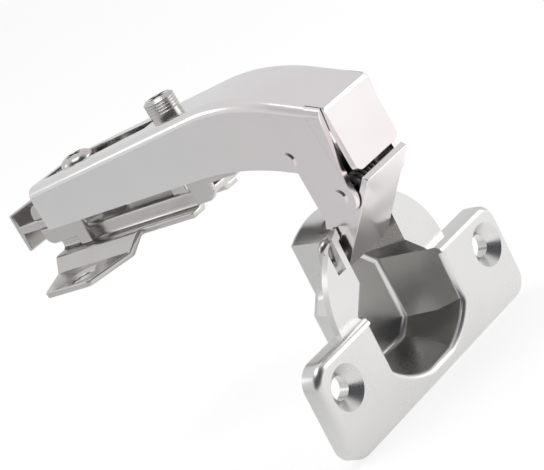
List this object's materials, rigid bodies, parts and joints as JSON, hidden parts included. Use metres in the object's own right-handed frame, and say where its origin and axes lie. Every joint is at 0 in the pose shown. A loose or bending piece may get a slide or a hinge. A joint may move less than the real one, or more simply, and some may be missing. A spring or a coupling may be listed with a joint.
{
  "type": "cranked cabinet cup hinge",
  "caption": "Concealed cup hinge with a cranked arm that clips on a winged plate; links swing a flanged cup out from the door's edge.",
  "frame": {"origin": "on the panel's face, midway between the two screw holes of the mounting plate", "axes": "+X along the arm towards its cranked nose, +Y along the pivots, +Z out of the panel"},
  "size_m": [0.0923, 0.06, 0.0666],
  "materials": {
    "nickel_pressed": "bright nickel on pressed sheet",
    "nickel_bright": "polished nickel on folded sheet",
    "nickel_satin": "satin nickel on drawn sheet",
    "nickel_screw": "nickel on turned steel",
    "spring_steel": "oiled spring wire"
  },
  "bodies": {
    "base": {"mounting_plate": "nickel_pressed", "clip_adapter": "nickel_pressed"},
    "release": {"release_slide": "nickel_pressed"},
    "arm": {"crank_arm": "nickel_bright", "arm_pin_front": "nickel_screw", "arm_pin_rear": "nickel_screw", "closing_spring": "spring_steel"},
    "depth_screw": {"depth_fixing_screw": "nickel_screw"},
    "side_screw": {"side_adjusting_screw": "nickel_screw"},
    "outer": {"outer_link": "nickel_bright"},
    "cup": {"hinge_cup": "nickel_satin", "cup_staple_pin": "nickel_screw"},
    "inner": {"inner_link": "nickel_bright"}
  },
  "joints": [
    {"name": "release_press", "type": "slide", "parent": "base", "child": "release", "axis": [1, 0, 0], "range_m": [0, 0.0022], "stiffness_N_per_m": 600, "springref_m": -0.001},
    {"name": "side_adjust", "type": "hinge", "parent": "base", "child": "arm", "pos_m": [-0.0034, 0, 0.017], "axis": [0, 1, 0], "range_deg": [-1.5, 1.5]},
    {"name": "depth_screw_turn", "type": "hinge", "parent": "arm", "child": "depth_screw", "pos_m": [-0.0034, 0, 0.017], "axis": [0, 0, 1], "range_deg": [0, 360]},
    {"name": "side_screw_turn", "type": "hinge", "parent": "arm", "child": "side_screw", "pos_m": [0.0261, 0, 0.02], "axis": [0, 0, 1], "range_deg": [-500, 500]},
    {"name": "outer_link_swing", "type": "hinge", "parent": "arm", "child": "outer", "pos_m": [0.062, 0, -0.00185], "axis": [0, 1, 0], "range_deg": [0, 36.17]},
    {"name": "cup_swing", "type": "hinge", "parent": "outer", "child": "cup", "pos_m": [0.0532, 0, -0.0127], "axis": [0, 1, 0], "range_deg": [-130.67, 0]},
    {"name": "inner_link_swing", "type": "hinge", "parent": "cup", "child": "inner", "pos_m": [0.0548, 0, -0.0087], "axis": [0, 1, 0], "range_deg": [0, 136.1]}
  ],
  "couplings": [
    {"joint": "outer_link_swing", "follows": "cup_swing", "ratio": -0.2768},
    {"joint": "inner_link_swing", "follows": "cup_swing", "ratio": -1.0415}
  ]
}
